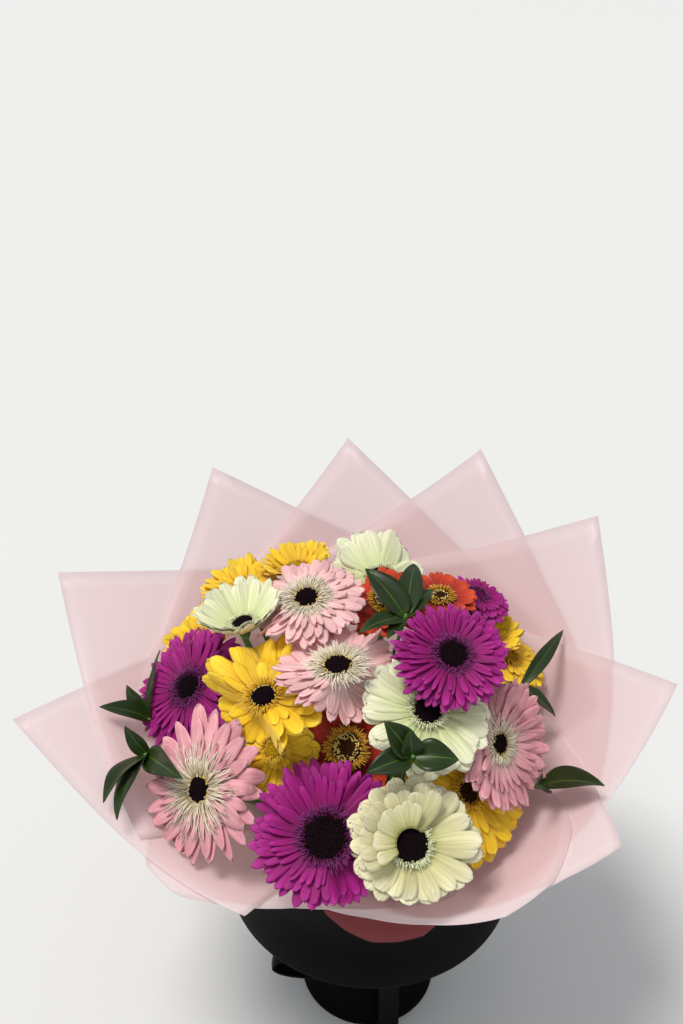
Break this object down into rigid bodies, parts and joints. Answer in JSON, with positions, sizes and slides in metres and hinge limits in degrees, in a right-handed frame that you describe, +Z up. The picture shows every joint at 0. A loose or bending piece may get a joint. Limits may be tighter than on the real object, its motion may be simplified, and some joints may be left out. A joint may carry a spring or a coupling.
{
  "type": "film-wrapped gerbera bouquet in footed vase",
  "caption": "Hand-tied dome of mixed gerberas and leafy sprigs in pleated translucent film, standing in a black footed bowl vase with a ribbon at its waist",
  "frame": {"origin": "middle of the vase's flat base, on the surface that it stands on", "axes": "+Z up, -Y to the front of the bouquet, +X to the viewer's right seen from the front"},
  "size_m": [0.5446, 0.4399, 0.5011],
  "materials": {
    "pink_petal": "soft satin petal, paler at the tip",
    "white_petal": "soft satin petal, green-white",
    "purple_petal": "soft satin petal, darker at the base",
    "yellow_petal": "soft satin petal",
    "orange_petal": "soft satin petal, red-orange",
    "eye": "matt, velvety",
    "leaf": "glossy dark green",
    "stem": "satin green",
    "film": "translucent matt film, pale pink",
    "tie": "matt twine",
    "vase": "satin black",
    "water": "clear still water",
    "ribbon": "black satin ribbon"
  },
  "bodies": {
    "root": {"white_front_petals": "white_petal", "white_front_eye": "eye", "purple_front_petals": "purple_petal", "purple_front_eye": "eye", "purple_right_petals": "purple_petal", "purple_right_eye": "eye", "white_mid_petals": "white_petal", "white_mid_eye": "eye", "white_left_petals": "white_petal", "white_left_eye": "eye", "pink_upper_petals": "pink_petal", "pink_upper_eye": "eye", "pink_mid_petals": "pink_petal", "pink_mid_eye": "eye", "pink_left_petals": "pink_petal", "pink_left_eye": "eye", "yellow_mid_petals": "yellow_petal", "yellow_mid_eye": "eye", "pink_right_petals": "pink_petal", "pink_right_eye": "eye", "yellow_low_petals": "yellow_petal", "orange_mid_petals": "orange_petal", "orange_mid_eye": "eye", "yellow_front_petals": "yellow_petal", "purple_left_petals": "purple_petal", "purple_left_eye": "eye", "orange_back_petals": "orange_petal", "orange_back_eye": "eye", "orange_right_petals": "orange_petal", "orange_right_eye": "eye", "white_top_petals": "white_petal", "white_top_eye": "eye", "purple_back_petals": "purple_petal", "yellow_narrow_petals": "yellow_petal", "yellow_right_petals": "yellow_petal", "yellow_back_petals": "yellow_petal", "yellow_back_left_petals": "yellow_petal", "yellow_far_left_petals": "yellow_petal", "leafy_sprig_left_upper": "leaf", "leafy_sprig_left_lower": "leaf", "leafy_sprig_top": "leaf", "leafy_sprig_middle": "leaf", "leafy_sprig_right": "leaf", "leafy_sprig_right_lower": "leaf", "stems": "stem", "film_left": "film", "film_left_back": "film", "film_back_left": "film", "film_back": "film", "film_back_right": "film", "film_right_back": "film", "film_right": "film", "film_right_front": "film", "film_front_right": "film", "film_front_left": "film", "film_front_low": "film", "tie": "tie", "vase": "vase", "water": "water", "ribbon": "ribbon"}
  },
  "joints": []
}
